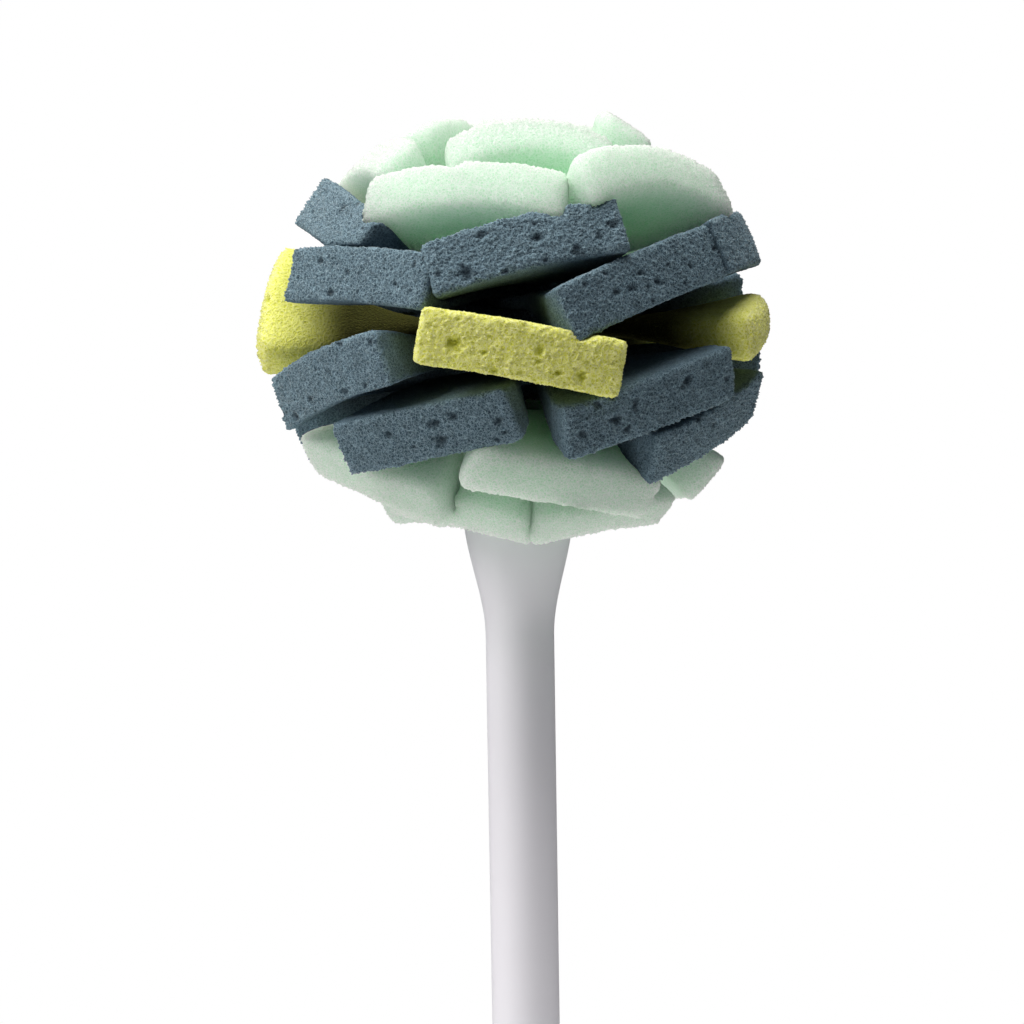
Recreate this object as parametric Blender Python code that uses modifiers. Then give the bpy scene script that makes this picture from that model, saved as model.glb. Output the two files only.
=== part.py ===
"""Sponge dish brush: a ball of crossed foam strips on a round plastic handle.

Eighteen foam strips lie across each other on a pin, like the hands of a clock.
Two discs pinch them thin in the middle, so their square-cut ends fan out into a ball.
The origin is the centre of the flat lower end of the handle, and the handle runs up +Z.
The photographed side faces -Y.
"""

import math
from collections import namedtuple

import bmesh
import bpy
from mathutils import Vector
from mathutils.bvhtree import BVHTree

MM = 0.001

# Ball of strips
BALL_WIDTH = 100.4 * MM
BALL_HEIGHT = 87 * MM
BALL_CENTRE_HEIGHT = 226 * MM
STRIP_WIDTH = 40 * MM
STRIP_THICKNESS = 11.5 * MM
STRIP_CLEARANCE = 0.3 * MM
PRESS_OVERRUN = 3 * MM
WAIST_WIDTH = 15 * MM
PINCHED_THICKNESS = 2.2 * MM

# Handle
SHAFT_DIAMETER = 13.2 * MM
NECK_DIAMETER = 13.7 * MM
COLLAR_DIAMETER = 22 * MM
COLLAR_LENGTH = 11 * MM
BELL_LENGTH = 25 * MM
MOUTH_ROUNDING = 2 * MM
END_ROUNDING = 3 * MM
GRIP_FLAT_THICKNESS = 8.6 * MM
GRIP_FLAT_LENGTH = 26 * MM
GRIP_FLAT_RUNOUT = 5 * MM
HANGING_HOLE_DIAMETER = 7 * MM
HANGING_HOLE_HEIGHT = 13 * MM

# Pin and clamp
PIN_DIAMETER = 5 * MM
PIN_ROOT_LENGTH = 22 * MM
PIN_BARB_HEIGHT = 0.5 * MM
PIN_BARB_LENGTH = 4 * MM
LOWER_DISC_DIAMETER = 17 * MM
UPPER_DISC_DIAMETER = 16 * MM
DISC_THICKNESS = 2 * MM
DISC_EDGE_ROUNDING = 0.6 * MM
RECESS_DEPTH = 1.2 * MM
CAP_DIAMETER = 11 * MM
CAP_HEIGHT = 5 * MM
CAP_ROOF = 1.6 * MM
CLEARANCE = 0.3 * MM

# Facets
ROUND_STEPS = 32
SMALL_ROUND_STEPS = 20
BELL_STEPS = 10
CORNER_STEPS = 4
STATIONS_PER_ARM = 7
FACETS_ACROSS = 4

# An arm is one half of a strip. Azimuth is in degrees from the photographed side, -Y,
# towards +X. Level counts strip thicknesses up the ball from its middle.
# Reach is a share of the distance from the ball's centre to its surface there.
# Roll is in degrees and lifts the right-hand edge, seen from outside.
# Crown lifts the middle of the width, as a share of the thickness.
# Width is a share of the strip's own, for ends that their neighbours squeeze.
Arm = namedtuple("Arm", "azimuth level_share reach_share roll crown_share width_share")

# From the top of the stack to its bottom, with the front or left arm first.
LAYOUT_SHARES = [
    ("mint_top_strip_1", "mint",
     Arm(8, 3.92, 0.98, 0, 0.55, 0.84), Arm(166, 4.95, 1.02, 8, 0.30, 0.78)),
    ("mint_top_strip_2", "mint",
     Arm(-74, 3.7, 1.0, 0, 0.15, 0.84), Arm(87, 4.35, 1.05, 0, 0.25, 0.66)),
    ("mint_top_strip_3", "mint",
     Arm(46, 2.62, 1.05, -3, 0.35, 1.0), Arm(-107, 5.0, 1.01, 0, 0.20, 0.70)),
    ("mint_top_strip_4", "mint",
     Arm(-15, 2.60, 0.98, 0, 0.20, 1.02), Arm(146, 2.45, 1.0, 0, 0.10, 1.0)),
    ("slate_upper_strip_1", "slate",
     Arm(3, 1.42, 0.98, 14, 0.05, 0.98), Arm(178, 1.22, 0.98, 4, 0.05, 0.98)),
    ("slate_upper_strip_2", "slate",
     Arm(-42, 0.95, 0.97, -5, 0.05, 0.95), Arm(132, 0.90, 0.97, 8, 0.05, 0.95)),
    ("slate_upper_strip_3", "slate",
     Arm(33, 0.78, 0.97, 20, 0.05, 1.0), Arm(-128, 1.05, 0.98, 0, 0.05, 0.95)),
    ("slate_upper_strip_4", "slate",
     Arm(-62, 2.2, 0.98, -19, 0.05, 0.90), Arm(76, 1.55, 1.02, 6, 0.05, 1.0)),
    ("yellow_middle_strip_1", "yellow",
     Arm(-97, 0.52, 1.02, -55, 0.20, 0.72), Arm(84, 0.05, 1.01, 9, 0.10, 1.0)),
    ("yellow_middle_strip_2", "yellow",
     Arm(1, -0.45, 1.0, -11, 0.05, 1.0), Arm(166, 0.25, 0.98, -5, 0.05, 1.0)),
    ("slate_lower_strip_1", "slate",
     Arm(-54, -0.88, 0.96, 12, 0.10, 1.0), Arm(125, -0.68, 0.98, -6, 0.05, 1.0)),
    ("slate_lower_strip_2", "slate",
     Arm(36, -1.38, 0.98, 19, 0.05, 1.0), Arm(-150, -0.95, 0.98, 8, 0.05, 0.95)),
    ("slate_lower_strip_3", "slate",
     Arm(-26, -1.95, 0.96, 10, 0.05, 1.0), Arm(158, -2.0, 0.97, 6, 0.05, 1.0)),
    ("slate_lower_strip_4", "slate",
     Arm(64, -1.85, 0.98, 22, 0.05, 1.0), Arm(-118, -1.9, 0.94, -4, 0.05, 0.95)),
    ("mint_bottom_strip_1", "mint",
     Arm(-60, -3.08, 0.98, -26, 0.20, 0.95), Arm(104, -3.05, 1.0, 0, 0.20, 1.0)),
    ("mint_bottom_strip_2", "mint",
     Arm(15, -3.15, 1.0, -13, 0.15, 1.0), Arm(-162, -3.2, 1.0, 0, 0.20, 0.95)),
    ("mint_bottom_strip_3", "mint",
     Arm(-31, -4.3, 0.98, -24, 0.30, 0.75), Arm(148, -4.3, 0.98, -8, 0.40, 0.76)),
    ("mint_bottom_strip_4", "mint",
     Arm(43, -4.3, 1.02, 14, 0.35, 0.80), Arm(-143, -4.3, 0.98, 12, 0.40, 0.76)),
]

# How an arm leaves the discs and meets the ball
HUB_SHARE = 1.05  # of the disc's radius, where an arm starts to bend
START_HANDLE_SHARE = 0.34  # of the arm's span, how long it leaves level
END_HANDLE_SHARE = 0.38  # of the arm's span, how long it runs straight at its end
THICKENING_POWER = 1.4  # how late an arm swells from its pinched thickness to its full one
GROWING_SHARE = 0.3  # of the arm, where a neighbour that it presses on starts to keep clear

COLOURS = {
    "mint": ((0.60, 0.85, 0.66, 1.0), 0.95),
    "slate": ((0.105, 0.16, 0.20, 1.0), 0.95),
    "yellow": ((0.66, 0.70, 0.16, 1.0), 0.95),
    "white plastic": ((0.80, 0.80, 0.82, 1.0), 0.35),
    "clear nylon": ((0.75, 0.75, 0.72, 1.0), 0.40),
}

# Worked out from the sizes above
PITCH = PINCHED_THICKNESS + STRIP_CLEARANCE
STACK_HEIGHT = PITCH * len(LAYOUT_SHARES) + STRIP_CLEARANCE
STACK_TOP = BALL_CENTRE_HEIGHT + STACK_HEIGHT / 2
STACK_BOTTOM = BALL_CENTRE_HEIGHT - STACK_HEIGHT / 2
MOUTH_HEIGHT = STACK_BOTTOM - DISC_THICKNESS - CLEARANCE + RECESS_DEPTH
HUB_RADIUS = HUB_SHARE * LOWER_DISC_DIAMETER / 2
PIN_BOTTOM = MOUTH_HEIGHT - RECESS_DEPTH - PIN_ROOT_LENGTH
CAP_BOTTOM = STACK_TOP + DISC_THICKNESS + CLEARANCE
PIN_TOP = CAP_BOTTOM + CAP_HEIGHT - CAP_ROOF - CLEARANCE


def clear_scene():
    for thing in list(bpy.data.objects):
        bpy.data.objects.remove(thing, do_unlink=True)


def new_collection(name):
    collection = bpy.data.collections.new(name)
    bpy.context.scene.collection.children.link(collection)
    return collection


def material(name):
    found = bpy.data.materials.get(name)
    if found:
        return found
    colour, roughness = COLOURS[name]
    made = bpy.data.materials.new(name)
    made.use_nodes = True
    shader = made.node_tree.nodes["Principled BSDF"]
    shader.inputs["Base Color"].default_value = colour
    shader.inputs["Roughness"].default_value = roughness
    made.diffuse_color = colour
    return made


def add_object(name, mesh, collection, finish=None):
    thing = bpy.data.objects.new(name, mesh)
    collection.objects.link(thing)
    if finish:
        mesh.materials.append(material(finish))
    return thing


def as_cutter(thing):
    thing.hide_render = True
    thing.display_type = "WIRE"
    return thing


def cut(thing, cutter):
    boolean = thing.modifiers.new("cut by " + cutter.name, "BOOLEAN")
    boolean.operation = "DIFFERENCE"
    boolean.solver = "EXACT"
    boolean.object = cutter


def turned(name, profile, collection, steps=ROUND_STEPS, finish=None):
    """A solid of revolution from (radius, height) points that run down its outside.

    A profile that starts off the axis is closed, and makes a ring.
    """
    mesh = bpy.data.meshes.new(name)
    points = [(radius, 0, height) for radius, height in profile]
    edges = [(i, i + 1) for i in range(len(points) - 1)]
    if profile[0][0] > 0:
        edges.append((len(points) - 1, 0))
    mesh.from_pydata(points, edges, [])
    thing = add_object(name, mesh, collection, finish)
    screw = thing.modifiers.new("turn", "SCREW")
    screw.axis = "Z"
    screw.steps = steps
    screw.render_steps = steps
    screw.use_merge_vertices = True
    screw.merge_threshold = CLEARANCE / 10
    screw.use_smooth_shade = True
    return thing


def quarter_round(radius, height, rounding, from_top):
    """Profile points round an outer corner at (radius, height), from top to bottom."""
    points = []
    for i in range(CORNER_STEPS + 1):
        turn = math.pi / 2 * i / CORNER_STEPS
        if from_top:
            across, down = math.sin(turn), 1 - math.cos(turn)
            points.append((radius - rounding + rounding * across, height - rounding * down))
        else:
            across, up = math.cos(turn), 1 - math.sin(turn)
            points.append((radius - rounding + rounding * across, height + rounding * up))
    return points


def smooth_step(share):
    share = min(1.0, max(0.0, share))
    return share * share * (3 - 2 * share)


# Handle: shaft, bell-shaped collar, socket for the pin, and a flattened end with a hanging hole


def handle_profile():
    socket = PIN_DIAMETER / 2 + PIN_BARB_HEIGHT + CLEARANCE
    floor = PIN_BOTTOM - CLEARANCE
    recess = LOWER_DISC_DIAMETER / 2 + CLEARANCE
    seat = MOUTH_HEIGHT - RECESS_DEPTH
    collar = COLLAR_DIAMETER / 2
    neck = NECK_DIAMETER / 2
    shaft = SHAFT_DIAMETER / 2
    bell_top = MOUTH_HEIGHT - COLLAR_LENGTH
    profile = [(0, floor), (socket, floor), (socket, seat), (recess, seat), (recess, MOUTH_HEIGHT)]
    profile += quarter_round(collar, MOUTH_HEIGHT, MOUTH_ROUNDING, from_top=True)
    for i in range(BELL_STEPS + 1):
        share = i / BELL_STEPS
        radius = collar + (neck - collar) * smooth_step(share)
        profile.append((radius, bell_top - BELL_LENGTH * share))
    profile += quarter_round(shaft, 0, END_ROUNDING, from_top=False)
    profile.append((0, 0))
    return profile


def make_handle(parts, cutters):
    handle = turned("handle", handle_profile(), parts, finish="white plastic")
    depth = SHAFT_DIAMETER
    for side in (-1, 1):
        mesh = bpy.data.meshes.new("flat cutter")
        shape = bmesh.new()
        bmesh.ops.create_cube(shape, size=1)
        size = Vector((3 * SHAFT_DIAMETER, depth, 2 * GRIP_FLAT_LENGTH))
        bmesh.ops.scale(shape, vec=size, verts=shape.verts)
        shape.to_mesh(mesh)
        shape.free()
        cutter = as_cutter(add_object("flat_cutter", mesh, cutters))
        cutter.location.y = side * (GRIP_FLAT_THICKNESS + depth) / 2
        run_out = cutter.modifiers.new("run out", "BEVEL")
        run_out.width = GRIP_FLAT_RUNOUT
        run_out.segments = CORNER_STEPS
        cut(handle, cutter)
    mesh = bpy.data.meshes.new("hole cutter")
    shape = bmesh.new()
    radius = HANGING_HOLE_DIAMETER / 2
    bmesh.ops.create_cone(shape, cap_ends=True, segments=SMALL_ROUND_STEPS, radius1=radius,
                          radius2=radius, depth=2 * SHAFT_DIAMETER)
    shape.to_mesh(mesh)
    shape.free()
    hole = as_cutter(add_object("hole_cutter", mesh, cutters))
    hole.rotation_euler.x = math.pi / 2
    hole.location.z = HANGING_HOLE_HEIGHT
    cut(handle, hole)


# Pin, discs and cap, which hold the strips


def make_pin(parts):
    pin = PIN_DIAMETER / 2
    barb = pin + PIN_BARB_HEIGHT
    seat = MOUTH_HEIGHT - RECESS_DEPTH
    profile = [(0, PIN_TOP), (pin, PIN_TOP)]
    barbs = int((seat - PIN_BOTTOM) / PIN_BARB_LENGTH)
    for i in range(barbs):
        top = seat - CLEARANCE - i * PIN_BARB_LENGTH
        profile += [(pin, top), (barb, top), (pin, top - PIN_BARB_LENGTH)]
    profile += [(pin, PIN_BOTTOM), (0, PIN_BOTTOM)]
    profile = [point for i, point in enumerate(profile) if i == 0 or point != profile[i - 1]]
    turned("core_pin", profile, parts, steps=SMALL_ROUND_STEPS, finish="clear nylon")


def make_disc(name, bottom, diameter, parts):
    bore = PIN_DIAMETER / 2 + CLEARANCE
    top = bottom + DISC_THICKNESS
    outer = quarter_round(diameter / 2, top, DISC_EDGE_ROUNDING, from_top=True)
    outer += quarter_round(diameter / 2, bottom, DISC_EDGE_ROUNDING, from_top=False)
    profile = [(bore, bottom), (bore, top)] + outer
    turned(name, profile, parts, steps=ROUND_STEPS, finish="clear nylon")


def make_cap(parts):
    bore = PIN_DIAMETER / 2 + CLEARANCE
    top = CAP_BOTTOM + CAP_HEIGHT
    ceiling = top - CAP_ROOF
    outer = quarter_round(CAP_DIAMETER / 2, top, CAP_HEIGHT / 2, from_top=True)
    profile = [(0, top)] + outer
    profile += [(CAP_DIAMETER / 2, CAP_BOTTOM), (bore, CAP_BOTTOM), (bore, ceiling), (0, ceiling)]
    turned("retaining_cap", profile, parts, steps=SMALL_ROUND_STEPS, finish="clear nylon")


# Foam strips


def surface_distance(rise):
    """How far the ball's surface lies from its centre, at an angle above the horizontal."""
    flat = math.cos(rise) / (BALL_WIDTH / 2)
    tall = math.sin(rise) / (BALL_HEIGHT / 2)
    return 1 / math.hypot(flat, tall)


def bezier(points, share):
    back = 1 - share
    weights = (back ** 3, 3 * back * back * share, 3 * back * share * share, share ** 3)
    place = sum((w * p for w, p in zip(weights, points)), Vector((0, 0)))
    spans = [points[i + 1] - points[i] for i in range(3)]
    slopes = (back * back, 2 * back * share, share * share)
    heading = sum((w * s for w, s in zip(slopes, spans)), Vector((0, 0)))
    return place, heading.normalized()


def arm_section(arm, level, share, grown):
    """Centre, directions and size of the section at a share of an arm's length.

    Away from the discs it is grown on every side by the given length.
    """
    level_angle = (STRIP_THICKNESS + STRIP_CLEARANCE) / (BALL_WIDTH / 2)
    rise = arm.level_share * level_angle
    reach = arm.reach_share * surface_distance(rise)
    start = Vector((HUB_RADIUS, level))
    end = Vector((reach * math.cos(rise), BALL_CENTRE_HEIGHT + reach * math.sin(rise)))
    span = (end - start).length
    ahead = Vector((math.cos(rise), math.sin(rise)))
    level_way = Vector((START_HANDLE_SHARE * span, 0))
    bends = [start, start + level_way, end - END_HANDLE_SHARE * span * ahead, end]
    place, heading = bezier(bends, share)
    azimuth = math.radians(arm.azimuth)
    outward = Vector((math.sin(azimuth), -math.cos(azimuth), 0))
    sideways = Vector((math.cos(azimuth), math.sin(azimuth), 0))
    centre = outward * place.x + Vector((0, 0, place.y))
    up = Vector((0, 0, heading.x)) - outward * heading.y
    roll = math.radians(arm.roll) * smooth_step(share)
    across = sideways * math.cos(roll) + up * math.sin(roll)
    normal = up * math.cos(roll) - sideways * math.sin(roll)
    extra = 2 * grown * smooth_step(share / GROWING_SHARE)
    widening = arm.width_share * STRIP_WIDTH - WAIST_WIDTH
    width = WAIST_WIDTH + widening * smooth_step(share) + extra
    thickening = share ** THICKENING_POWER
    thickness = PINCHED_THICKNESS + (STRIP_THICKNESS - PINCHED_THICKNESS) * thickening + extra
    crown = arm.crown_share * STRIP_THICKNESS * thickening
    return centre, across, normal, width, thickness, crown


def run_on(section):
    """The end section moved outward, so that a pressing arm leaves no chip past its end."""
    centre, across, *rest = section
    return (centre + across.cross(rest[0]) * PRESS_OVERRUN, across, *rest)


def strip_sections(first, second, level, grown):
    """Sections from the end of the first arm through the pin to the end of the second."""
    shares = [i / (STATIONS_PER_ARM - 1) for i in range(STATIONS_PER_ARM)]
    inward = [arm_section(first, level, share, grown) for share in reversed(shares)]
    outward = [arm_section(second, level, share, grown) for share in shares]
    if grown:
        inward.insert(0, run_on(inward[0]))
        outward.append(run_on(outward[-1]))
    outward = [(centre, -across, *rest) for centre, across, *rest in outward]
    across = (inward[-1][1] + outward[0][1]).normalized()
    middle = (Vector((0, 0, level)), across, *inward[-1][2:])
    return inward + [middle] + outward


def strip_mesh(name, first, second, level, grown=0):
    """A foam strip: a ring of points round each section, with a face between every four."""
    mesh = bpy.data.meshes.new(name)
    shape = bmesh.new()
    rings = []
    sections = strip_sections(first, second, level, grown)
    for centre, across, normal, width, thickness, crown in sections:
        ring = []
        for side in (1, -1):
            for j in range(FACETS_ACROSS + 1):
                place = side * (2 * j / FACETS_ACROSS - 1)
                lift = side * thickness / 2 + crown * (1 - place * place)
                point = centre + across * place * width / 2 + normal * lift
                ring.append(shape.verts.new(point))
        rings.append(ring)
    for ring, following in zip(rings, rings[1:]):
        for j in range(len(ring)):
            k = (j + 1) % len(ring)
            shape.faces.new((ring[j], following[j], following[k], ring[k]))
    for ring in (rings[0], rings[-1]):
        for j in range(FACETS_ACROSS):
            shape.faces.new((ring[j], ring[j + 1], ring[-j - 2], ring[-j - 1]))
    bmesh.ops.triangulate(shape, faces=shape.faces)
    bmesh.ops.recalc_face_normals(shape, faces=shape.faces)
    shape.to_mesh(mesh)
    shape.free()
    return mesh


def surface_tree(thing):
    shape = bmesh.new()
    shape.from_mesh(thing.data)
    tree = BVHTree.FromBMesh(shape)
    shape.free()
    return tree


def make_strips(parts, cutters):
    """The stack from its top down. Each strip gives way to the strips above that press on it."""
    mesh = bpy.data.meshes.new("pin hole cutter")
    shape = bmesh.new()
    radius = PIN_DIAMETER / 2 + CLEARANCE
    bmesh.ops.create_cone(shape, cap_ends=True, segments=SMALL_ROUND_STEPS, radius1=radius,
                          radius2=radius, depth=2 * STACK_HEIGHT)
    shape.to_mesh(mesh)
    shape.free()
    hole = as_cutter(add_object("pin_hole_cutter", mesh, cutters))
    hole.location.z = BALL_CENTRE_HEIGHT
    hole.rotation_euler.z = math.pi / (3 * SMALL_ROUND_STEPS)
    above = []
    for i, (name, finish, first, second) in enumerate(LAYOUT_SHARES):
        level = STACK_TOP - STRIP_CLEARANCE - PINCHED_THICKNESS / 2 - i * PITCH
        strip = add_object(name, strip_mesh(name, first, second, level), parts, finish)
        tree = surface_tree(strip)
        for neighbour in above:
            if tree.overlap(surface_tree(neighbour)):
                cut(strip, neighbour)
        cut(strip, hole)
        pressing = strip_mesh(name + " cutter", first, second, level, STRIP_CLEARANCE)
        above.append(as_cutter(add_object(name + "_cutter", pressing, cutters)))


def main():
    clear_scene()
    parts = new_collection("sponge dish brush")
    cutters = new_collection("cutters")
    make_handle(parts, cutters)
    make_pin(parts)
    make_disc("lower_disc", STACK_BOTTOM - DISC_THICKNESS, LOWER_DISC_DIAMETER, parts)
    make_disc("upper_disc", STACK_TOP, UPPER_DISC_DIAMETER, parts)
    make_cap(parts)
    make_strips(parts, cutters)


main()
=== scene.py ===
# %% [markdown]
# # A sponge dish brush, dressed for a studio photograph
# The brush is a ball of foam strips on a round plastic handle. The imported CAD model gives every
# piece its place and size. This lesson makes each strip into real-looking foam, turns a finer
# handle, and sets up the camera and the light of a plain studio.

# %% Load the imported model
import math

import bmesh
import bpy
import numpy as np
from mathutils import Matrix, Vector


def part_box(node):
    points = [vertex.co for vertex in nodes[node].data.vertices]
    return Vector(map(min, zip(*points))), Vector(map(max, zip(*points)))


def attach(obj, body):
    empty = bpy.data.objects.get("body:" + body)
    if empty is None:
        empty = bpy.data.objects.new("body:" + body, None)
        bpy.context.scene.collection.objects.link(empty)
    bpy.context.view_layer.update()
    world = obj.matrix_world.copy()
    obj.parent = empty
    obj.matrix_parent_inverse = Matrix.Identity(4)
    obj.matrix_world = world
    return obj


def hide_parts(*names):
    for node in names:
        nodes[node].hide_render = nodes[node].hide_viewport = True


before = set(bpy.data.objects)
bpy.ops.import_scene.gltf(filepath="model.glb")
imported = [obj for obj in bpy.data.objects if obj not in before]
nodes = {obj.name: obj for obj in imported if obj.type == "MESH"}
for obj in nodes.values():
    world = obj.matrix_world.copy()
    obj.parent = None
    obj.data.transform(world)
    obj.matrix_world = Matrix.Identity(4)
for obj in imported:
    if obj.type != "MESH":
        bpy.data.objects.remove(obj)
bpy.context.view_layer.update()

MM = 0.001

# %% [markdown]
# ## Small helpers
# Colours are picked as they look on a screen, so they are written as sRGB hex values, and one
# function turns them into the linear values that Blender's light works with. Materials are
# graphs of nodes. One function adds a node, sets it and links it.

# %% Helpers for objects, colours and nodes


def new_object(name, data):
    """A new object, shown in the scene."""
    made = bpy.data.objects.new(name, data)
    bpy.context.scene.collection.objects.link(made)
    return made


def linear(hex_text):
    """An sRGB hex colour as linear red, green, blue and alpha."""
    channels = [int(hex_text[i:i + 2], 16) / 255 for i in (1, 3, 5)]
    bent = [c / 12.92 if c <= 0.04045 else ((c + 0.055) / 1.055) ** 2.4 for c in channels]
    return (*bent, 1.0)


def add_node(tree, kind, settings=None, inputs=None):
    """Adds a node. Settings are its properties; an input is a value or a socket to link from."""
    node = tree.nodes.new(kind)
    for name, value in (settings or {}).items():
        setattr(node, name, value)
    for name, value in (inputs or {}).items():
        if isinstance(value, bpy.types.NodeSocket):
            tree.links.new(value, node.inputs[name])
        else:
            node.inputs[name].default_value = value
    return node


def new_material(name):
    """An empty material with its Principled shader."""
    material = bpy.data.materials.new(name)
    material.use_nodes = True
    return material, material.node_tree, material.node_tree.nodes["Principled BSDF"]


print("helpers ready, mid grey in linear light:", round(linear("#808080")[0], 3))

# %% [markdown]
# ## The camera
# The photograph looks level at the brush from a step away, with a long lens, and shows about
# 205 mm of it from side to side. The brush leans a little to the right in the picture, so the
# camera is rolled by the same angle.

# %% Camera
CAMERA_DISTANCE = 0.9
VIEW_WIDTH = 0.2048
SENSOR_WIDTH = 36  # in millimetres, as Blender wants it
AIM = Vector((-0.0012, 0, 0.1908))
ROLL = math.radians(-0.9)

camera = new_object("camera", bpy.data.cameras.new("camera"))
camera.data.sensor_width = SENSOR_WIDTH
camera.data.lens = SENSOR_WIDTH * CAMERA_DISTANCE / VIEW_WIDTH
camera.location = AIM + Vector((0, -CAMERA_DISTANCE, 0))
camera.rotation_euler = (math.pi / 2, 0, 0)
camera.rotation_euler.rotate_axis("Z", ROLL)
bpy.context.scene.camera = camera
print("lens:", round(camera.data.lens, 1), "mm")

# %% [markdown]
# ## Foam cells
# Foam is a froth of bubbles that has set. Its surface is a net of thin struts round open pores.
# The mesh carries the pits and the ragged surface that shows at arm's length, so that the shape
# is real from every side. They come from two kinds of noise, worked out for all points at once:
# cells, whose value is the distance to the nearest of many scattered points, and clouds, which
# rise and fall smoothly. Both use only the place of a point, so every run gives the same foam.

# %% Noise over points
HASH_PRIMES = (73856093, 19349663, 83492791)  # one for each axis
SEED_PRIME = 374761393
HASH_MIX = 2654435761
HASH_SHIFTS = (15, 13)
HASH_RANGE = 2 ** 32


def hashed(cell, seed):
    """A number from 0 to 1 for each whole-numbered cell."""
    mixed = np.full(len(cell), seed * SEED_PRIME % HASH_RANGE, np.uint64)
    for axis, prime in enumerate(HASH_PRIMES):
        mixed ^= cell[:, axis].astype(np.int64).view(np.uint64) * np.uint64(prime)
    for shift in HASH_SHIFTS:
        mixed = (mixed ^ (mixed >> np.uint64(shift))) * np.uint64(HASH_MIX)
        mixed %= np.uint64(HASH_RANGE)
    return mixed.astype(float) / HASH_RANGE


def cell_distance(points, size, seed):
    """Distance to the nearest scattered point, in cell sizes: 0 in a pore, near 1 on a strut."""
    scaled = points / size
    base = np.floor(scaled)
    nearest = np.full(len(points), np.inf)
    for step in np.ndindex(3, 3, 3):
        cell = base + np.array(step) - 1
        spot = np.stack([cell[:, k] + hashed(cell, seed + k) for k in range(3)], 1)
        nearest = np.minimum(nearest, ((scaled - spot) ** 2).sum(1))
    return np.sqrt(nearest)


def soft_step(share):
    """Rises smoothly from 0 to 1."""
    share = np.clip(share, 0, 1)
    return share * share * (3 - 2 * share)


def cloud(points, size, seed):
    """Smooth noise from -1 to 1."""
    scaled = points / size
    base = np.floor(scaled)
    part = soft_step(scaled - base)
    total = np.zeros(len(points))
    for step in np.ndindex(2, 2, 2):
        corner = np.array(step)
        weight = np.where(corner, part, 1 - part).prod(1)
        total += weight * hashed(base + corner, seed)
    return 2 * total - 1


print("cell noise at the origin:", cell_distance(np.zeros((1, 3)), MM, 1))

# %% [markdown]
# ## The three foams
# All three are polyurethane foam, cut into strips with a blade. The mint strips are a fine soft
# foam with rounded, pillowy ends. The slate and yellow strips are a coarser scouring foam with
# crisp cut ends, where large bubbles were cut open and left dark pits. Each foam is one recipe
# of real sizes, so that all its strips are made alike and a change reaches every one of them.

# %% Foam recipes
# pillow: rounds of smoothing, which round the edges as the clamp bends them.
# swell: how far the free foam stands out from its CAD solid. fray: the height of the fuzz.
# ripple: the depth of slow waves in the faces, ripple_size apart. grain: the depth of the pores.
# pits: how many bubbles each cut end opened, and the smallest and largest radius.
FOAMS = {
    "mint": {
        "pillow": 26, "swell": 0.5 * MM, "fray": 0.45 * MM,
        "ripple": 0.5 * MM, "ripple_size": 9 * MM, "grain": 0.12 * MM, "pits": 0,
    },
    "slate": {
        "pillow": 1, "swell": 0.1 * MM, "fray": 0.55 * MM,
        "ripple": 0.22 * MM, "ripple_size": 8 * MM, "grain": 0.22 * MM,
        "pits": 8, "pit_radius": (0.5 * MM, 1.4 * MM),
    },
    "yellow": {
        "pillow": 1, "swell": 0.1 * MM, "fray": 0.55 * MM,
        "ripple": 0.22 * MM, "ripple_size": 8 * MM, "grain": 0.11 * MM,
        "pits": 6, "pit_radius": (0.4 * MM, 1.2 * MM),
    },
}
# These two are rounded more than their foam, because the strips above press them into soft bends.
PILLOWED = {"yellow_middle_strip_1": 110, "yellow_middle_strip_2": 3}

strip_names = sorted(name for name in nodes if "_strip_" in name)
print("strips:", len(strip_names), "of", len(FOAMS), "foams")

# %% [markdown]
# ## An even net over each strip
# The CAD strip has the right shape but large flat facets, and a surface can only be roughened
# where it has points. Cutting the facets up would leave slivers at the creases. A voxel remesh
# lays an even net of small squares over the whole strip instead. It is done twice: a coarse net
# is smoothed first, which rounds the edges over a few millimetres, and a fine one follows.

# %% Even net
COARSE_SPACING = 0.9 * MM
MESH_SPACING = 0.34 * MM
FINE_SMOOTHING = 2
WELD_DISTANCE = MM / 1000


def even_mesh(source, pillow):
    """A copy of the source's mesh as a fine, even net. More pillow makes its edges rounder."""
    mesh = source.data.copy()
    shape = bmesh.new()
    shape.from_mesh(mesh)
    bmesh.ops.remove_doubles(shape, verts=shape.verts, dist=WELD_DISTANCE)
    shape.to_mesh(mesh)
    shape.free()
    carrier = new_object("carrier", mesh)
    for spacing, smoothing in ((COARSE_SPACING, pillow), (MESH_SPACING, FINE_SMOOTHING)):
        net = carrier.modifiers.new("net", "REMESH")
        net.mode = "VOXEL"
        net.voxel_size = spacing
        soften = carrier.modifiers.new("soften", "SMOOTH")
        soften.factor = 0.5
        soften.iterations = smoothing
    graph = bpy.context.evaluated_depsgraph_get()
    made = bpy.data.meshes.new_from_object(carrier.evaluated_get(graph))
    bpy.data.objects.remove(carrier)
    return made


def read_points(mesh, what):
    """The places or normals of a mesh's points as an array of rows."""
    values = np.zeros(len(mesh.vertices) * 3, np.float32)
    if what == "place":
        mesh.vertices.foreach_get("co", values)
    else:
        mesh.vertex_normals.foreach_get("vector", values)
    return values.reshape(-1, 3).astype(float)


def write_points(mesh, points):
    """Moves the points of a mesh to new places."""
    mesh.vertices.foreach_set("co", points.astype(np.float32).ravel())
    mesh.update()


print("net spacing:", COARSE_SPACING / MM, "mm, then", MESH_SPACING / MM, "mm")

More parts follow.
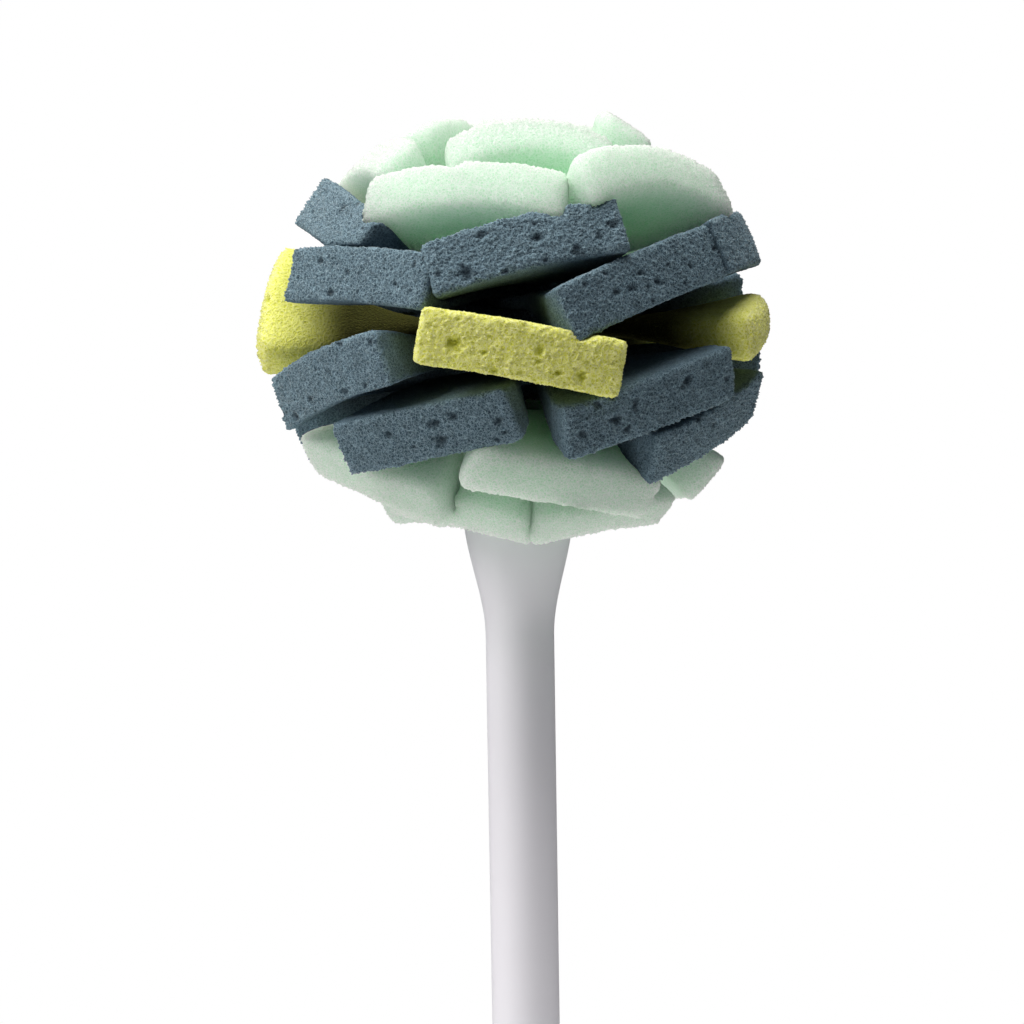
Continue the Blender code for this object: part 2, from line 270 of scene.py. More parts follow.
# %% [markdown]
# ## Swollen strips with trimmed ends
# The CAD strips keep a small gap to each other. Real foam presses on its neighbours until no gap
# is left, so each strip swells outward a little, and more in the hub, where the clamp squeezes
# all of them together. The finished ball was trimmed round with a blade, so the rim of each cut
# end is pulled back until the end follows the curve of the ball. The points of each of the two
# ends are found by sorting them to the nearer of two centres, over and over.

# %% Swell and trim
BALL_CENTRE = np.array((0, 0, 0.226))
HUB_REACH = 13 * MM
HUB_SWELL = 0.35 * MM
TRIM_RADIUS = 110 * MM
TRIM_DEPTH = 15 * MM
END_FACING = 0.85  # how squarely a point of a cut end looks away from the ball's centre
END_REACH = 0.8
SORTING_ROUNDS = 4


def trim_ends(points, normals):
    """Pulls back the rims of both cut ends."""
    away = points - BALL_CENTRE
    reach = np.linalg.norm(away, axis=1)
    at_end = ((away * normals).sum(1) > END_FACING * reach) & (reach > END_REACH * reach.max())
    ends, facing = points[at_end], normals[at_end]
    centres = np.stack([ends[np.argmin(ends[:, 1])], ends[np.argmax(ends[:, 1])]])
    for _ in range(SORTING_ROUNDS):
        nearer = np.linalg.norm(ends[:, None] - centres, axis=2).argmin(1)
        centres = np.stack([ends[nearer == k].mean(0) for k in (0, 1)])
    owner = np.linalg.norm(points[:, None] - centres, axis=2).argmin(1)
    for k in (0, 1):
        mine = owner == k
        ahead = facing[nearer == k].mean(0)
        ahead /= np.linalg.norm(ahead)
        gap = points[mine] - centres[k]
        depth = -gap @ ahead
        aside = np.linalg.norm(gap + depth[:, None] * ahead, axis=1)
        pull = aside ** 2 / (2 * TRIM_RADIUS) * soft_step(1 - depth / TRIM_DEPTH)
        points[mine] -= pull[:, None] * ahead


def swell_and_trim(mesh, foam):
    """Swells the strip, trims its ends, and gives back its points and normals."""
    points, normals = read_points(mesh, "place"), read_points(mesh, "normal")
    from_axis = np.linalg.norm(points[:, :2], axis=1)
    points += normals * np.where(from_axis < HUB_REACH, HUB_SWELL, foam["swell"])[:, None]
    trim_ends(points, normals)
    write_points(mesh, points)
    return read_points(mesh, "place"), read_points(mesh, "normal")


print("cut ends trimmed to a radius of", round(TRIM_RADIUS / MM), "mm")

# %% [markdown]
# ## Pits
# A pit is a bubble that the blade cut open. It can only be on a cut end, and those are the faces
# that look away from the middle of the ball. The largest pits on the photographed side are
# listed one by one, in millimetres across and up, with their radius. The others are scattered
# with a fixed seed, more small ones than large ones. Each is a ragged bowl sunk into the mesh, so
# that it catches the light as a real one does from every side.

# %% Pits
HAND_PLACED_PITS = {
    "yellow_middle_strip_2": [(-11.8, 222.9, 1.9), (4.6, 221.3, 1.2), (-5.8, 221, 0.9),
                              (12.4, 216.2, 1.2), (4.4, 219.2, 0.8)],
    "slate_upper_strip_1": [(-9.2, 236.2, 1.7), (11.9, 240, 1.4), (-7, 238.4, 1.0),
                            (-1.5, 236.5, 0.8), (6, 238.5, 0.9), (16.5, 243, 1.0)],
    "slate_lower_strip_2": [(19.2, 208, 1.4), (23, 211.5, 1.0), (12.5, 205.5, 1.1)],
    "slate_lower_strip_3": [(-16.2, 208, 1.4), (-14.6, 204.8, 1.6), (-12, 209, 1.1),
                            (-25, 206, 1.0), (-3.5, 208, 1.2)],
    "slate_lower_strip_4": [(34.8, 209.8, 1.3)],
    "slate_lower_strip_1": [(-33.2, 214.5, 1.2), (-40.4, 213.4, 1.0), (-29, 215.5, 0.9)],
    "slate_upper_strip_3": [(27.5, 234.5, 1.2), (22.5, 233, 1.0), (34, 237.5, 0.9)],
}
PIT_FACING = 0.8
PIT_SNAP = 3 * MM  # a listed pit is left out if no cut end is this close to it
PIT_DEPTH = 0.55  # as a share of the radius
PIT_SIZE_BIAS = 1.5
PIT_RAGGED = 0.45
PIT_RAGGED_SIZE = 0.9 * MM
PIT_STRETCH = 0.4
PIT_SEED = 5


def pit_depths(name, foam, points, facing_out, random):
    """How deep each point lies in a pit, from 0 to 1, and how far it moves inward."""
    ends = np.flatnonzero(facing_out > PIT_FACING)
    centres, radii = [], []
    for across, up, radius in HAND_PLACED_PITS.get(name, []):
        off = np.hypot(points[ends, 0] - across * MM, points[ends, 2] - up * MM)
        off[points[ends, 1] > 0] = np.inf
        if off.min() < PIT_SNAP:
            centres.append(points[ends[np.argmin(off)]])
            radii.append(radius * MM)
    for _ in range(2 * foam["pits"]):
        centres.append(points[random.choice(ends)])
        low, high = foam["pit_radius"]
        radii.append(low + (high - low) * random.random() ** PIT_SIZE_BIAS)
    inside = np.zeros(len(points))
    depth = np.zeros(len(points))
    ragged = 1 + PIT_RAGGED * cloud(points, PIT_RAGGED_SIZE, PIT_SEED)
    for centre, radius in zip(centres, radii):
        gap = points - centre
        gap[:, 2] *= 1 + PIT_STRETCH * random.random()
        share = np.sqrt((gap ** 2).sum(1)) / radius * ragged
        bowl = np.clip(1 - share ** 2, 0, 1)
        inside = np.maximum(inside, bowl)
        depth = np.maximum(depth, bowl * radius)
    return inside, depth * PIT_DEPTH


print("pits placed by hand:", sum(len(pits) for pits in HAND_PLACED_PITS.values()))

# %% [markdown]
# ## Pores, fuzz and ripples
# The rest of the surface moves along its normals too: inward in the pores and in slow ripples,
# and outward where loose fibres stand up. A blade tears the cells open, so cut ends are rougher
# than the skin of the sides. The real pores and fibres are finer than the net can carry, so they
# are drawn as coarse as they need to be to show. The mesh also keeps three values for the
# colours: how deep a point lies in a pit, how much painted shade darkens it towards the hub,
# where the strips crowd together and little light gets in, and how squarely the point faces
# outward, which tells the cut ends from the sides.

# %% Rough foam surface
STRIP_SEED = 100
RIPPLE_SEED = 20
GRAIN_SEED = 11
GRAIN_SIZE = 0.8 * MM
SIDE_ROUGHNESS = 0.15  # as a share of the roughness of a cut end
FRAY_POWER = 4  # a few points stand far out, and most hardly at all
# Painted shade: the foam's colour is darkened fully inside the first reach from the ball's
# centre, and not at all beyond the second.
HUB_SHADE_REACH = 33 * MM
UNSHADED_REACH = 47 * MM
BALL_STRETCH = np.array((1, 1, 1.14))  # makes the flattened ball round again


def roughen(name, index, foam, mesh):
    """Gives the strip its rough surface, and gives back the values that its colours need."""
    points, normals = swell_and_trim(mesh, foam)
    away = points - BALL_CENTRE
    away /= np.linalg.norm(away, axis=1)[:, None]
    facing_out = (away * normals).sum(1)
    random = np.random.default_rng(STRIP_SEED + index)
    inside, inward = pit_depths(name, foam, points, facing_out, random)
    pores = 1 - np.clip(cell_distance(points, GRAIN_SIZE, GRAIN_SEED), 0, 1)
    waves = 0.5 + 0.5 * cloud(points, foam["ripple_size"], RIPPLE_SEED + index)
    rough = SIDE_ROUGHNESS + (1 - SIDE_ROUGHNESS) * np.clip(facing_out, 0, 1)
    inward += foam["grain"] * rough * pores
    inward -= foam["fray"] * rough * random.random(len(points)) ** FRAY_POWER
    inward += foam["ripple"] * waves
    points -= normals * inward[:, None]
    write_points(mesh, points)
    # painted shade towards the hub, standing in for the shadow between the crowded strips
    reach = np.linalg.norm((points - BALL_CENTRE) * BALL_STRETCH, axis=1)
    hub_shade = 1 - soft_step((reach - HUB_SHADE_REACH) / (UNSHADED_REACH - HUB_SHADE_REACH))
    return {"pit": inside, "hub_shade": hub_shade, "cut_end": facing_out}


print("sides are", SIDE_ROUGHNESS, "times as rough as cut ends")

# %% [markdown]
# ## Foam materials
# Polyurethane foam is plastic blown into struts as thin as hair. They scatter the light many
# times, so foam is dull: its roughness is 1, it has hardly any gloss, and a little sheen stands
# for the fibres that catch the light at its edges. Between the struts the pores are darker and
# deeper in colour. A net of cells in two sizes gives both, with a bump for the hollow of each
# cell. Some light goes into the foam and comes out beside, which subsurface scattering gives:
# far in the pale mint foam, and hardly at all in the slate foam.

# %% Foam looks
# tip, strut, pore: the net's colours from its finest fibres down. side: a strut on an uncut side;
# its colour is partly painted light and shade for the sides and undersides, lighter than the
# strut on the mint and darker on the others. deep: the bottom of a pit, a painted shade. cell:
# the width
# of a cell. bump: its depth. mottle: how cloudy the colour is. dark: how much painted shade
# darkens the foam near the hub, where the strips crowd together and little light gets in.
# glow and glow_depth: how much light goes into the foam, and how far.
FOAM_LOOKS = {
    # Fine soft foam: pale, and it glows from inside, so even its undersides stay light; its side
    # colour, lighter than its struts, paints some of that light in too. Its real cells are about
    # 0.3 mm wide. They are drawn at 0.45 mm, or they wouldn't show.
    "mint": {
        "material": "fine_mint_polyurethane_foam",
        "tip": "#e8fdec", "strut": "#c9f5d3", "pore": "#b0ebbc", "side": "#d8f9df",
        "deep": "#98dca5", "cell": 0.45 * MM, "bump": 0.1 * MM, "mottle": 0.03, "dark": 0.1,
        "glow": 0.97, "glow_depth": 27 * MM,
    },
    # Coarse scouring foam, dyed through: light fibres glint over dark pores. Its cells are about
    # half a millimetre wide, as the real ones are, which is two or three pixels in the render.
    "slate": {
        "material": "coarse_slate_polyurethane_foam",
        "tip": "#94acb8", "strut": "#546a78", "pore": "#43545f", "side": "#4f6371",
        "deep": "#2f3c46", "cell": 0.45 * MM, "bump": 0.09 * MM, "mottle": 0.1, "dark": 0.5,
        "glow": 0.5, "glow_depth": 0.8 * MM,
    },
    # The same coarse foam in a light dye, so its pores turn a deep olive instead of dark.
    "yellow": {
        "material": "coarse_yellow_polyurethane_foam",
        "tip": "#feffbe", "strut": "#fefe8a", "pore": "#dcdf50", "side": "#f3f78a",
        "deep": "#c4c832", "cell": 0.55 * MM, "bump": 0.16 * MM, "mottle": 0.07, "dark": 0.96,
        "glow": 0.4, "glow_depth": 1.2 * MM,
    },
}
print("looks of foam:", ", ".join(FOAM_LOOKS))

# %% [markdown]
# ## The net of struts
# Each cell of foam is a bubble, and its edges are the struts. A Voronoi texture has such edges,
# but they are straight, so a noise first bends the place at which it is read. A wide line along
# each edge is the strut's flank, and a narrow line its bright ridge. Two nets of different size
# are laid over each other, because one alone looks like a honeycomb.

# %% Foam net
BEND = 1.6  # of a cell's width
LARGE_CELL = 1.7
FLANK_WIDTH = 0.34
RIDGE_WIDTH = 0.13


def foam_net(tree, place, cell):
    """The flanks and the ridges of the struts, as two sockets from 0 to 1."""
    warp = add_node(tree, "ShaderNodeTexNoise", None,
                    {"Vector": place, "Scale": 1 / (BEND * cell), "Detail": 3})
    shift = add_node(tree, "ShaderNodeVectorMath", {"operation": "MULTIPLY_ADD"},
                     {0: warp.outputs["Color"], 1: (BEND * cell,) * 3, 2: place})
    flanks, ridges = [], []
    for size in (cell, LARGE_CELL * cell):
        cells = add_node(tree, "ShaderNodeTexVoronoi", {"feature": "DISTANCE_TO_EDGE"},
                         {"Vector": shift.outputs[0], "Scale": 1 / size})
        for found, width in ((flanks, FLANK_WIDTH), (ridges, RIDGE_WIDTH)):
            line = add_node(tree, "ShaderNodeMapRange", {"interpolation_type": "SMOOTHSTEP"},
                            {"Value": cells.outputs["Distance"], "From Min": 0.0,
                             "From Max": width, "To Min": 0.5, "To Max": 0})
            found.append(line.outputs[0])
    flank = add_node(tree, "ShaderNodeMath", {"operation": "ADD"},
                     {0: flanks[0], 1: flanks[1]})
    ridge = add_node(tree, "ShaderNodeMath", {"operation": "ADD", "use_clamp": True},
                     {0: ridges[0], 1: ridges[1]})
    return flank.outputs[0], ridge.outputs[0]


print("strut flanks:", FLANK_WIDTH, "and ridges:", RIDGE_WIDTH, "of a cell's width")

# %% [markdown]
# ## The foam's colour
# The colours of the net are mixed from the pores up. The sides keep the foam's closed skin, so
# only a third of the net shows there, and their colour is partly painted light and shade. A pit
# is mixed towards the deep colour, a painted shade, because light that comes out of it has been
# coloured by the foam many times. A painted shade darkens the foam towards the hub, where the
# strips crowd together and little light gets in, and slow clouds keep large faces from looking
# flat.

# %% Foam colour
CUT_FROM, CUT_TO = 0.1, 0.9
SIDE_NET = 0.35
# How far the bottom of a pit is mixed towards the deep colour, a painted shade.
PIT_SHADE = 0.85
CLOUD_SIZE = 2.4 * MM


def foam_colour(tree, place, look, flank, ridge):
    """The colour of the foam as a socket."""
    patch = add_node(tree, "ShaderNodeTexNoise", None,
                     {"Vector": place, "Scale": 1 / CLOUD_SIZE, "Detail": 4})
    cloudy = add_node(tree, "ShaderNodeMapRange", None,
                      {"Value": patch.outputs["Fac"], "From Min": 0.3, "From Max": 0.7,
                       "To Min": 1 - look["mottle"], "To Max": 1 + look["mottle"]})
    pit = add_node(tree, "ShaderNodeAttribute", {"attribute_name": "pit"})
    pit_share = add_node(tree, "ShaderNodeMath", {"operation": "MULTIPLY"},
                         {0: pit.outputs["Fac"], 1: PIT_SHADE})
    cut = add_node(tree, "ShaderNodeAttribute", {"attribute_name": "cut_end"})
    cut_share = add_node(tree, "ShaderNodeMapRange", {"interpolation_type": "SMOOTHSTEP"},
                         {"Value": cut.outputs["Fac"], "From Min": CUT_FROM,
                          "From Max": CUT_TO, "To Min": SIDE_NET})
    # Partly the skin of the uncut sides, partly painted light and shade: the side colour takes
    # over where a point faces away from the outside of the ball.
    strut = add_node(tree, "ShaderNodeMixRGB", None,
                     {"Fac": cut_share.outputs[0], "Color1": linear(look["side"]),
                      "Color2": linear(look["strut"])})
    net = add_node(tree, "ShaderNodeMixRGB", None,
                   {"Fac": flank, "Color1": linear(look["pore"]),
                    "Color2": strut.outputs["Color"]})
    shine = add_node(tree, "ShaderNodeMath", {"operation": "MULTIPLY"},
                     {0: ridge, 1: cut_share.outputs[0]})
    tipped = add_node(tree, "ShaderNodeMixRGB", None,
                      {"Fac": shine.outputs[0], "Color1": net.outputs["Color"],
                       "Color2": linear(look["tip"])})
    # painted shade towards the hub, read from the mesh
    hub_shade = add_node(tree, "ShaderNodeAttribute", {"attribute_name": "hub_shade"})
    hub_darkening = add_node(tree, "ShaderNodeMapRange", None,
                     {"Value": hub_shade.outputs["Fac"], "To Min": 1, "To Max": 1 - look["dark"]})
    shade = add_node(tree, "ShaderNodeMath", {"operation": "MULTIPLY"},
                     {0: cloudy.outputs[0], 1: hub_darkening.outputs[0]})
    # painted shade in the pits: mixed towards the deep colour
    pitted = add_node(tree, "ShaderNodeMixRGB", None,
                      {"Fac": pit_share.outputs[0], "Color1": tipped.outputs["Color"],
                       "Color2": linear(look["deep"])})
    coloured = add_node(tree, "ShaderNodeVectorMath", {"operation": "SCALE"},
                        {0: pitted.outputs["Color"], "Scale": shade.outputs[0]})
    return coloured.outputs[0]


print("share of the net that shows on the sides:", SIDE_NET)

# %% [markdown]
# ## Putting the foam together
# The values that are the same all over a strip go straight onto the shader. The IOR is that of
# solid polyurethane. Green light goes a little further into the foam than red and blue, which
# keeps its shadows from turning grey.

# %% Foam material
FOAM_SHADER = {
    "Roughness": 1.0, "IOR": 1.5, "Specular IOR Level": 0.1,
    "Sheen Weight": 0.35, "Sheen Roughness": 0.5, "Subsurface Radius": (0.95, 1.0, 0.93),
}


def foam_material(look):
    """Polyurethane foam: a fine net of light struts over darker pores."""
    material, tree, shader = new_material(look["material"])
    place = add_node(tree, "ShaderNodeTexCoord").outputs["Object"]
    flank, ridge = foam_net(tree, place, look["cell"])
    colour = foam_colour(tree, place, look, flank, ridge)
    tree.links.new(colour, shader.inputs["Base Color"])
    relief = add_node(tree, "ShaderNodeBump", None,
                      {"Strength": 1.0, "Distance": look["bump"], "Height": flank})
    tree.links.new(relief.outputs["Normal"], shader.inputs["Normal"])
    for socket, value in FOAM_SHADER.items():
        shader.inputs[socket].default_value = value
    shader.inputs["Sheen Tint"].default_value = linear(look["strut"])
    shader.inputs["Subsurface Weight"].default_value = look["glow"]
    shader.inputs["Subsurface Scale"].default_value = look["glow_depth"]
    return material


foam_materials = {kind: foam_material(look) for kind, look in FOAM_LOOKS.items()}
print("made:", ", ".join(material.name for material in foam_materials.values()))

# %% [markdown]
# ## The foam strips
# Each foam strip stands for one CAD strip and replaces it. It rides on the brush's only body.

# %% Foam pieces


def foam_strip(name, index):
    """A new piece that replaces a CAD strip, with foam cells, ripples and pits."""
    kind = name.split("_")[0]
    foam = FOAMS[kind]
    mesh = even_mesh(nodes[name], PILLOWED.get(name, foam["pillow"]))
    for label, values in roughen(name, index, foam, mesh).items():
        attribute = mesh.attributes.new(label, "FLOAT", "POINT")
        attribute.data.foreach_set("value", values.astype(np.float32))
    mesh.materials.clear()
    mesh.materials.append(foam_materials[kind])
    mesh.shade_smooth()
    piece = new_object(name + "_foam", mesh)
    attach(piece, "root")
    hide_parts(name)
    return piece


strips = [foam_strip(name, index) for index, name in enumerate(strip_names)]
print("foam strips:", len(strips), "faces:", sum(len(s.data.polygons) for s in strips))

# %% [markdown]
# ## The handle's outline
# The handle is moulded from white polypropylene: a 13 mm round rod that swells into a bell under
# the ball, and a flattened end with a hole to hang it by. It is turned again here from the same
# outline as the CAD handle with finer steps, so that no facet shows. The outline is a list of
# radii and heights. It starts inside the mouth, where the lower disc sits, goes over the rounded
# rim and down the outside, and ends at the middle of the lower end.

# %% Handle outline
SHAFT_RADIUS = 6.6 * MM
NECK_RADIUS = 6.85 * MM
COLLAR_RADIUS = 11 * MM
COLLAR_LENGTH = 11 * MM
BELL_LENGTH = 25 * MM
END_ROUNDING = 3 * MM
MOUTH_ROUNDING = 2 * MM
DISC_GAP = 0.3 * MM
MOUTH_STEPS, BELL_STEPS, SHAFT_STEPS, END_STEPS = 8, 32, 80, 12

handle_low, handle_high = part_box("handle")
disc_low, disc_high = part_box("lower_disc")
mouth = handle_high.z
seat = disc_low.z - DISC_GAP
recess = disc_high.x + DISC_GAP
bell_top = mouth - COLLAR_LENGTH
neck_height = bell_top - BELL_LENGTH

outline = [(0, seat), (recess, seat), (recess, mouth)]
for i in range(MOUTH_STEPS + 1):
    turn = math.pi / 2 * i / MOUTH_STEPS
    outline.append((COLLAR_RADIUS - MOUTH_ROUNDING * (1 - math.sin(turn)),
                    mouth - MOUTH_ROUNDING * (1 - math.cos(turn))))
for i in range(BELL_STEPS + 1):
    share = i / BELL_STEPS
    outline.append((COLLAR_RADIUS + (NECK_RADIUS - COLLAR_RADIUS) * float(soft_step(share)),
                    bell_top - BELL_LENGTH * share))
for i in range(1, SHAFT_STEPS):
    share = i / SHAFT_STEPS
    outline.append((NECK_RADIUS + (SHAFT_RADIUS - NECK_RADIUS) * share,
                    neck_height + (END_ROUNDING - neck_height) * share))
for i in range(END_STEPS + 1):
    turn = math.pi / 2 * i / END_STEPS
    outline.append((SHAFT_RADIUS - END_ROUNDING * (1 - math.cos(turn)),
                    END_ROUNDING * (1 - math.sin(turn))))
outline.append((0, 0))
print("handle from", round(handle_low.z / MM, 1), "to", round(mouth / MM, 1), "mm,",
      len(outline), "points in its outline")

# %% [markdown]
# ## Turning the handle
# A ring of points is laid at each step of the outline and joined to the next one. Near the lower
# end the rings are flattened front and back, which a plain lathe can't do, so the rings are made
# point by point.

# %% Turned handle
TURNS = 96
FLAT_HALF = 4.3 * MM
FLAT_LENGTH = 26 * MM
FLAT_RUNOUT = 5 * MM


def flat_limit(height, radius):
    """How far the handle reaches front and back of its axis: less on its flattened end."""
    blend = float(soft_step((height - FLAT_LENGTH + FLAT_RUNOUT) / FLAT_RUNOUT))
    return min(radius, FLAT_HALF + (SHAFT_RADIUS + MM - FLAT_HALF) * blend)


shape = bmesh.new()
rings = []
for radius, height in outline:
    if radius == 0:
        rings.append([shape.verts.new((0, 0, height))])
        continue
    limit = flat_limit(height, radius) if height < 2 * FLAT_LENGTH else radius
    ring = []
    for i in range(TURNS):
        turn = 2 * math.pi * i / TURNS
        depth = max(-limit, min(limit, radius * math.sin(turn)))
        ring.append(shape.verts.new((radius * math.cos(turn), depth, height)))
    rings.append(ring)
for upper, lower in zip(rings, rings[1:]):
    for i in range(TURNS):
        k = (i + 1) % TURNS
        corners = []
        for vert in (upper[i % len(upper)], upper[k % len(upper)],
                     lower[k % len(lower)], lower[i % len(lower)]):
            if vert not in corners:
                corners.append(vert)
        shape.faces.new(corners)
bmesh.ops.recalc_face_normals(shape, faces=shape.faces)
handle_mesh = bpy.data.meshes.new("handle_turned")
shape.to_mesh(handle_mesh)
shape.free()
handle = new_object("handle_moulded", handle_mesh)
print("rings:", len(rings), "of", TURNS, "points")

# %% [markdown]
# ## The hanging hole
# The mould has a round core that leaves the hole. Here a cylinder is taken away from the handle
# with a Boolean modifier. A small bevel then softens each sharp edge, as the mould does, and
# gives it a highlight.

# %% Hanging hole
HOLE_RADIUS = 3.5 * MM
HOLE_HEIGHT = 13 * MM
LIP_WIDTH = 0.5 * MM
LIP_ANGLE = math.radians(50)
SHARP_ANGLE = math.radians(40)

shape = bmesh.new()
bmesh.ops.create_cone(shape, cap_ends=True, segments=64, radius1=HOLE_RADIUS,
                      radius2=HOLE_RADIUS, depth=4 * SHAFT_RADIUS)
drill_mesh = bpy.data.meshes.new("drill")
shape.to_mesh(drill_mesh)
shape.free()
drill = new_object("drill", drill_mesh)
drill.rotation_euler.x = math.pi / 2
drill.location.z = HOLE_HEIGHT
bore = handle.modifiers.new("hanging hole", "BOOLEAN")
bore.operation = "DIFFERENCE"
bore.solver = "EXACT"
bore.object = drill
lip = handle.modifiers.new("lip", "BEVEL")
lip.width = LIP_WIDTH
lip.segments = 3
lip.angle_limit = LIP_ANGLE
graph = bpy.context.evaluated_depsgraph_get()
handle.data = bpy.data.meshes.new_from_object(handle.evaluated_get(graph))
handle.modifiers.clear()
bpy.data.objects.remove(drill)
handle.data.shade_smooth()
handle.data.set_sharp_from_angle(angle=SHARP_ANGLE)
print("handle faces:", len(handle.data.polygons))

# %% [markdown]
# ## Satin plastic
# The handle is moulded from white polypropylene, a milky plastic. The mould's satin skin gives
# it a broad, soft gloss, and light that goes a little way in softens its shading. The plastic
# shrinks as it cools, which leaves a faint waviness, and handling leaves hair-fine scratches
# along the handle that dull it here and there. The hidden pieces are moulded from natural nylon,
# which is cream-coloured and looks much the same otherwise, so one function makes both.

# %% Satin plastic
SCRATCH_SIZE = 0.8 * MM  # real scratches are a tenth of this, and wouldn't show in the render
SCRATCH_SQUEEZE = 0.15  # heights are scaled by this, so scratches are drawn out along the handle
TONE_SIZE = 14 * MM
WAVE_SIZE = 3 * MM
WAVE_HEIGHT = 0.02 * MM
PLASTIC_SHADER = {
    "IOR": 1.49, "Subsurface Weight": 0.1, "Subsurface Radius": (1.0, 1.0, 1.0),
    "Subsurface Scale": 4 * MM,
}


def satin_plastic(name, colour, roughness):
    """A moulded plastic with a faintly wavy satin skin."""
    material, tree, shader = new_material(name)
    place = add_node(tree, "ShaderNodeTexCoord").outputs["Object"]
    stretched = add_node(tree, "ShaderNodeVectorMath", {"operation": "MULTIPLY"},
                         {0: place, 1: (1, 1, SCRATCH_SQUEEZE)})
    scuffs = add_node(tree, "ShaderNodeTexNoise", None,
                      {"Vector": stretched.outputs[0], "Scale": 1 / SCRATCH_SIZE, "Detail": 4})
    gloss = add_node(tree, "ShaderNodeMapRange", None,
                     {"Value": scuffs.outputs["Fac"], "From Min": 0.35, "From Max": 0.75,
                      "To Min": roughness - 0.05, "To Max": roughness + 0.08})
    tree.links.new(gloss.outputs[0], shader.inputs["Roughness"])
    tone = add_node(tree, "ShaderNodeTexNoise", None,
                    {"Vector": place, "Scale": 1 / TONE_SIZE, "Detail": 2})
    milky = add_node(tree, "ShaderNodeMapRange", None,
                     {"Value": tone.outputs["Fac"], "To Min": 0.97, "To Max": 1.0})
    tinted = add_node(tree, "ShaderNodeVectorMath", {"operation": "SCALE"},
                      {0: linear(colour)[:3], "Scale": milky.outputs[0]})
    tree.links.new(tinted.outputs[0], shader.inputs["Base Color"])
    waves = add_node(tree, "ShaderNodeTexNoise", None,
                     {"Vector": place, "Scale": 1 / WAVE_SIZE, "Detail": 2})
    relief = add_node(tree, "ShaderNodeBump", None,
                      {"Strength": 1.0, "Distance": WAVE_HEIGHT, "Height": waves.outputs["Fac"]})
    tree.links.new(relief.outputs["Normal"], shader.inputs["Normal"])
    for socket, value in PLASTIC_SHADER.items():
        shader.inputs[socket].default_value = value
    return material


white = satin_plastic("white_polypropylene", "#f4f2fb", 0.42)
nylon = satin_plastic("natural_nylon", "#e6e4da", 0.4)
print("made:", white.name, "and", nylon.name)

# %% [markdown]
# ## Dressing the plastic pieces
# The turned handle replaces the CAD handle. The pin, the two discs and the cap sit inside the
# ball, where they are hardly seen, so they keep their CAD shapes and only get the nylon.

# %% Plastic pieces
handle.data.materials.clear()
handle.data.materials.append(white)
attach(handle, "root")
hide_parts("handle")

hidden_names = ("core_pin", "lower_disc", "upper_disc", "retaining_cap")
for name in hidden_names:
    nodes[name].data.materials.clear()
    nodes[name].data.materials.append(nylon)
print("plastic pieces dressed:", 1 + len(hidden_names))

# %% [markdown]
# ## The white surround
# The photograph has a plain white surround. A world that shone as brightly as it looks would
# wash out every shadow, so the world is white only where the camera sees it, and lights the
# brush as a dim, slightly cool room would.

# %% Surround
FILL_STRENGTH = 0.09

world = bpy.data.worlds.new("studio")
bpy.context.scene.world = world
world.use_nodes = True
tree = world.node_tree
tree.nodes.clear()
ray = add_node(tree, "ShaderNodeLightPath")
seen = add_node(tree, "ShaderNodeBackground", None, {"Color": (1, 1, 1, 1), "Strength": 1.0})
fill = add_node(tree, "ShaderNodeBackground", None,
                {"Color": linear("#f4f6ff"), "Strength": FILL_STRENGTH})
chosen = add_node(tree, "ShaderNodeMixShader", None,
                  {0: ray.outputs["Is Camera Ray"], 1: fill.outputs[0], 2: seen.outputs[0]})
add_node(tree, "ShaderNodeOutputWorld", None, {"Surface": chosen.outputs[0]})
print("fill light:", FILL_STRENGTH, "of the white that the camera sees")

# %% [markdown]
# ## The lamps
# The shadows in the photograph show two large soft lights: one above the brush, and one high on
# its left, so that the handle is white on the left and grey on the right. A third, weak one from
# low on the left stands for the light that a white table throws back under the strips. Square
# lamps of about a metre give the soft edges of such light.

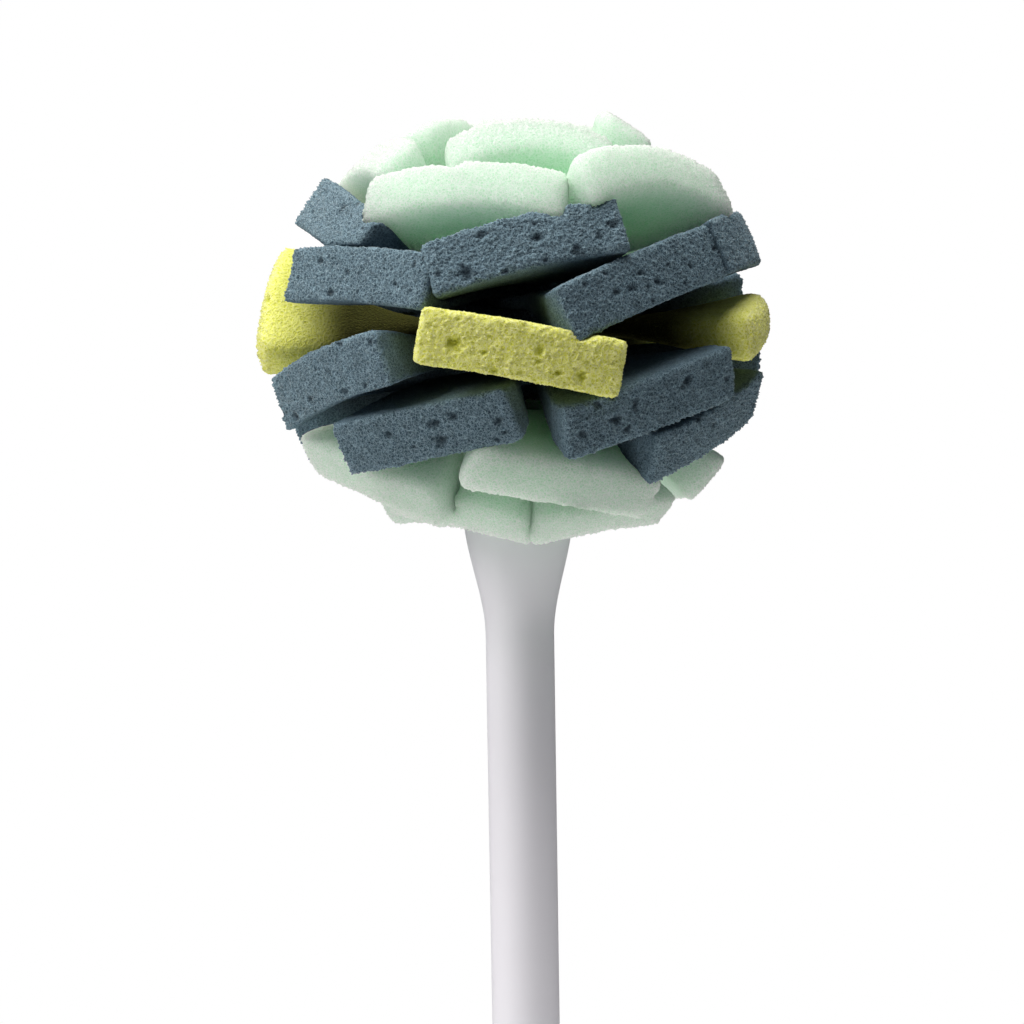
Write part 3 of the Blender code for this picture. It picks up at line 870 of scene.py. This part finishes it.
# %% Lamps
LAMP_COLOUR = "#fffdf8"
SOFT_BOXES = (  # name, azimuth and elevation in degrees, distance and size in metres, watts
    ("side_light", -72, 36, 1.5, 0.8, 15),
    ("top_light", 0, 78, 1.5, 1.1, 24),
    ("table_bounce", -65, -20, 1.2, 0.9, 1.7),
)


def soft_box(name, target, azimuth, elevation, distance, size, power):
    """A square lamp behind a diffuser that looks at a point. Angles are in degrees."""
    lamp = new_object(name, bpy.data.lights.new(name, "AREA"))
    lamp.data.shape = "SQUARE"
    lamp.data.size = size
    lamp.data.energy = power
    lamp.data.color = linear(LAMP_COLOUR)[:3]
    a, e = math.radians(azimuth), math.radians(elevation)
    way = Vector((math.sin(a) * math.cos(e), -math.cos(a) * math.cos(e), math.sin(e)))
    lamp.location = Vector(target) + way * distance
    lamp.rotation_euler = way.to_track_quat("Z", "Y").to_euler()


for name, *settings in SOFT_BOXES:
    soft_box(name, BALL_CENTRE, *settings)
print("lamps:", len(SOFT_BOXES))

# %% [markdown]
# ## The floor
# The brush stands on a sheet of white paper. Paper is dull, so it takes only a faint, soft
# shadow. The sheet is round and fades out towards its edge, so that no horizon shows. The
# picture is shown with plain screen colours, so that white stays white.

# %% Floor
FLOOR_RADIUS = 0.7
FADE_START = 0.25
FADE_END = 0.65

shape = bmesh.new()
bmesh.ops.create_circle(shape, cap_ends=True, segments=96, radius=FLOOR_RADIUS)
floor_mesh = bpy.data.meshes.new("floor")
shape.to_mesh(floor_mesh)
shape.free()
floor = new_object("floor", floor_mesh)
floor_paper, tree, shader = new_material("white_paper")
shader.inputs["Base Color"].default_value = linear("#f4f4f4")
shader.inputs["Roughness"].default_value = 0.9
place = add_node(tree, "ShaderNodeTexCoord").outputs["Object"]
far = add_node(tree, "ShaderNodeVectorMath", {"operation": "LENGTH"}, {0: place})
solid = add_node(tree, "ShaderNodeMapRange", {"interpolation_type": "SMOOTHSTEP"},
                 {"Value": far.outputs["Value"], "From Min": FADE_START, "From Max": FADE_END,
                  "To Min": 1, "To Max": 0})
tree.links.new(solid.outputs[0], shader.inputs["Alpha"])
floor_mesh.materials.append(floor_paper)
bpy.context.scene.view_settings.view_transform = "Standard"
print("floor radius:", FLOOR_RADIUS, "m, faded from", FADE_START, "to", FADE_END, "m")
